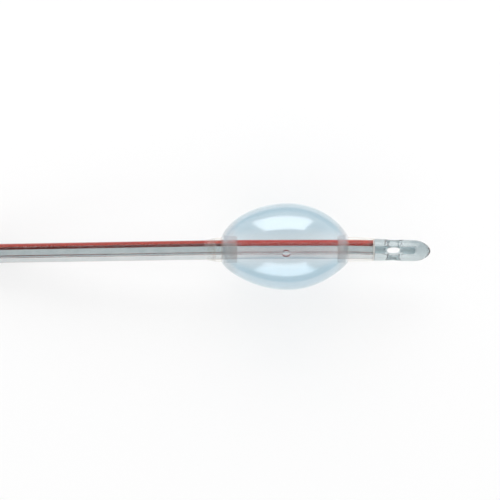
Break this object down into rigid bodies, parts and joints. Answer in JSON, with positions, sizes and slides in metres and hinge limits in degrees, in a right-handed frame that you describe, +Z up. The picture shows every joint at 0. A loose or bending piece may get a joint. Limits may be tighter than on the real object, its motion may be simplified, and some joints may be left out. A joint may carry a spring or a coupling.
{
  "type": "foley urinary catheter",
  "caption": "Two-way silicone urinary catheter with an inflated retention balloon, eyed tip, red radiopaque stripe, Y funnel and a spring-loaded Luer inflation valve.",
  "frame": {"origin": "on the surface the catheter lies on, under the middle of its bounding box", "axes": "+X along the catheter towards the tip, +Z up from the surface it lies on"},
  "size_m": [0.4002, 0.0419, 0.0268],
  "materials": {
    "clear_silicone": "smooth, translucent",
    "red_silicone": "smooth",
    "balloon_silicone": "thin glossy membrane",
    "adhesive": "cured silicone adhesive, slightly cloudy",
    "tip_silicone": "smooth, clear",
    "funnel_silicone": "satin, milky",
    "red_plastic": "moulded gloss",
    "white_plastic": "moulded matt",
    "seal_rubber": "matt",
    "spring_steel": "drawn wire"
  },
  "bodies": {
    "catheter": {"shaft": "clear_silicone", "radiopaque_stripe": "red_silicone", "distal_lumen_plug": "adhesive", "proximal_lumen_plug": "adhesive", "balloon": "balloon_silicone", "proximal_bond": "adhesive", "tip_bond": "adhesive", "tip": "tip_silicone", "funnel": "funnel_silicone", "valve_body": "red_plastic", "valve_inlet": "red_plastic", "valve_spring": "spring_steel"},
    "valve_stem": {"valve_stem": "white_plastic", "valve_seal": "seal_rubber"}
  },
  "joints": [
    {"name": "valve_press", "type": "slide", "parent": "catheter", "child": "valve_stem", "axis": [0.9135, 0.4067, -0.0047], "range_m": [0, 0.002], "stiffness_N_per_m": 500, "springref_m": -0.002, "deforming": ["valve_spring"]}
  ]
}
